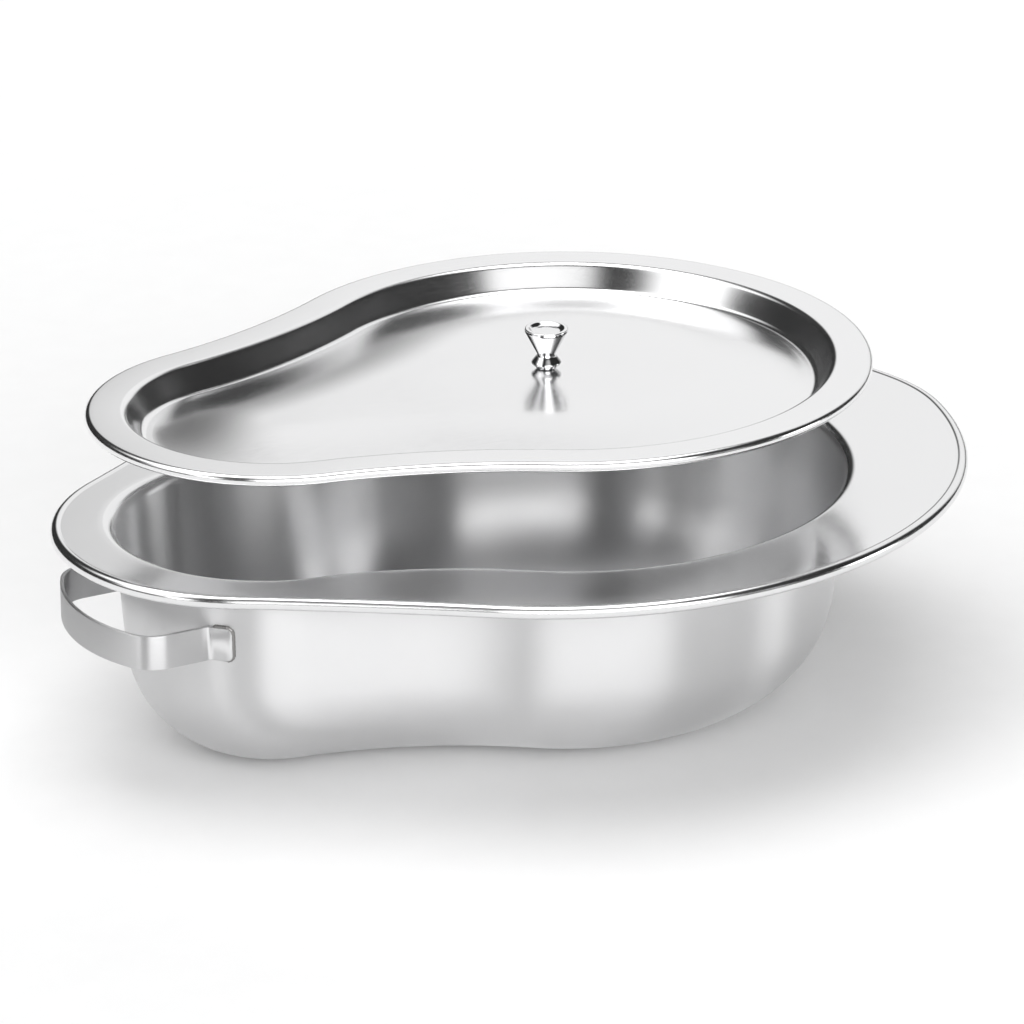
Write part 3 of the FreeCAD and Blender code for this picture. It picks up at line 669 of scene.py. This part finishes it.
noise.seed_set(FINISH_SEED)
finish_piece(make_pan(), pan_steel, "pan", "pan_shell")
finish_piece(make_strap(), handle_steel, "pan", "handle_strap")
# The welds take the near-black steel, which paints a shadow line round each tab.
for weld_side, weld_name in ((1, "weld_left"), (-1, "weld_right")):
    finish_piece(make_weld(weld_side, weld_name), weld_steel, "pan", "handle_welds")
finish_piece(make_lid(), lid_steel, "lid", "lid_shell")
finish_piece(make_knob(), knob_steel, "lid", "knob")
finish_piece(make_ferrule(), knob_steel, "lid", "knob_ferrule")
for node in ("knob_screw", "knob_washer"):
    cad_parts[node].data.materials[0] = fastener_steel


def make_floor():
    material = bpy.data.materials.new("studio_floor")
    material.use_nodes = True
    tree = material.node_tree
    shader = tree.nodes["Principled BSDF"]
    shader.inputs["Roughness"].default_value = 0.75
    shader.inputs["Specular IOR Level"].default_value = 0.2
    coords = tree.nodes.new("ShaderNodeTexCoord")
    grain = noise_texture(tree, coords, 60.0, 6.0)
    tone = tree.nodes.new("ShaderNodeMix")
    tone.data_type = "RGBA"
    tone.inputs["A"].default_value = FLOOR_DARK
    tone.inputs["B"].default_value = FLOOR_PALE
    tree.links.new(grain.outputs["Fac"], tone.inputs["Factor"])
    tree.links.new(tone.outputs["Result"], shader.inputs["Base Color"])
    bpy.ops.mesh.primitive_plane_add(size=FLOOR_SIZE, location=(0, 0, 0))
    floor = bpy.context.object
    floor.name = "studio_floor"
    floor.data.materials.append(material)


def bearing(azimuth, elevation):
    """Unit vector towards a compass bearing and a height angle, in degrees; bearing 0 is +X and 90 is +Y."""
    a, e = math.radians(azimuth), math.radians(elevation)
    return Vector((math.cos(a) * math.cos(e), math.sin(a) * math.cos(e), math.sin(e)))


def number_node(tree, operation, first, second):
    node = tree.nodes.new("ShaderNodeMath")
    node.operation = operation
    for socket, value in zip(node.inputs, (first, second)):
        if isinstance(value, bpy.types.NodeSocket):
            tree.links.new(value, socket)
        else:
            socket.default_value = value
    return node.outputs["Value"]


def dot_node(tree, direction, axis):
    node = tree.nodes.new("ShaderNodeVectorMath")
    node.operation = "DOT_PRODUCT"
    tree.links.new(direction, node.inputs[0])
    node.inputs[1].default_value = axis
    return node.outputs["Value"]


def softbox(tree, direction, azimuth, elevation, half_wide, half_tall, edge, strength):
    """Light from one soft-edged panel of the studio. Its half angles and edge are in degrees."""
    facing = bearing(azimuth, elevation)
    sideways = Vector((0, 0, 1)).cross(facing).normalized()
    upwards = facing.cross(sideways)
    depth = number_node(tree, "MAXIMUM", dot_node(tree, direction, facing), 0.001)
    light = strength
    for axis, half in ((sideways, half_wide), (upwards, half_tall)):
        offset = number_node(tree, "DIVIDE", dot_node(tree, direction, axis), depth)
        fade = tree.nodes.new("ShaderNodeMapRange")
        fade.interpolation_type = "SMOOTHSTEP"
        tree.links.new(number_node(tree, "ABSOLUTE", offset, 0.0), fade.inputs["Value"])
        fade.inputs["From Min"].default_value = math.tan(math.radians(half - edge))
        fade.inputs["From Max"].default_value = math.tan(math.radians(half + edge))
        fade.inputs["To Min"].default_value = 1.0
        fade.inputs["To Max"].default_value = 0.0
        light = number_node(tree, "MULTIPLY", fade.outputs["Result"], light)
    return light


def make_lights():
    """A dim room with soft panels, each given by bearing, height, half angles, edge and strength."""
    world = bpy.data.worlds.new("studio")
    world.use_nodes = True
    tree = world.node_tree
    direction = tree.nodes.new("ShaderNodeTexCoord").outputs["Generated"]
    light = ROOM_LIGHT
    for panel in STUDIO_PANELS:
        light = number_node(tree, "ADD", softbox(tree, direction, *panel), light)
    tree.links.new(light, tree.nodes["Background"].inputs["Strength"])
    tree.nodes["Background"].inputs["Color"].default_value = (1, 1, 1, 1)
    bpy.context.scene.world = world


def make_camera():
    azimuth, elevation = math.radians(CAMERA_AZIMUTH), math.radians(CAMERA_ELEVATION)
    back = Vector((
        math.sin(azimuth) * math.cos(elevation),
        -math.cos(azimuth) * math.cos(elevation),
        math.sin(elevation),
    ))
    lens = bpy.data.cameras.new("camera")
    lens.sensor_width = 36.0
    lens.lens = CAMERA_LENS
    lens.clip_start = 0.05
    lens.clip_end = 60.0
    lens.shift_y = CAMERA_SHIFT
    camera = bpy.data.objects.new("camera", lens)
    camera.location = Vector((0, 0, PAN_DEPTH * MM)) + back * CAMERA_DISTANCE
    camera.rotation_euler = back.to_track_quat("Z", "Y").to_euler()
    bpy.context.scene.collection.objects.link(camera)
    bpy.context.scene.camera = camera


make_floor()
make_lights()
make_camera()
bpy.context.scene.view_settings.view_transform = "Standard"
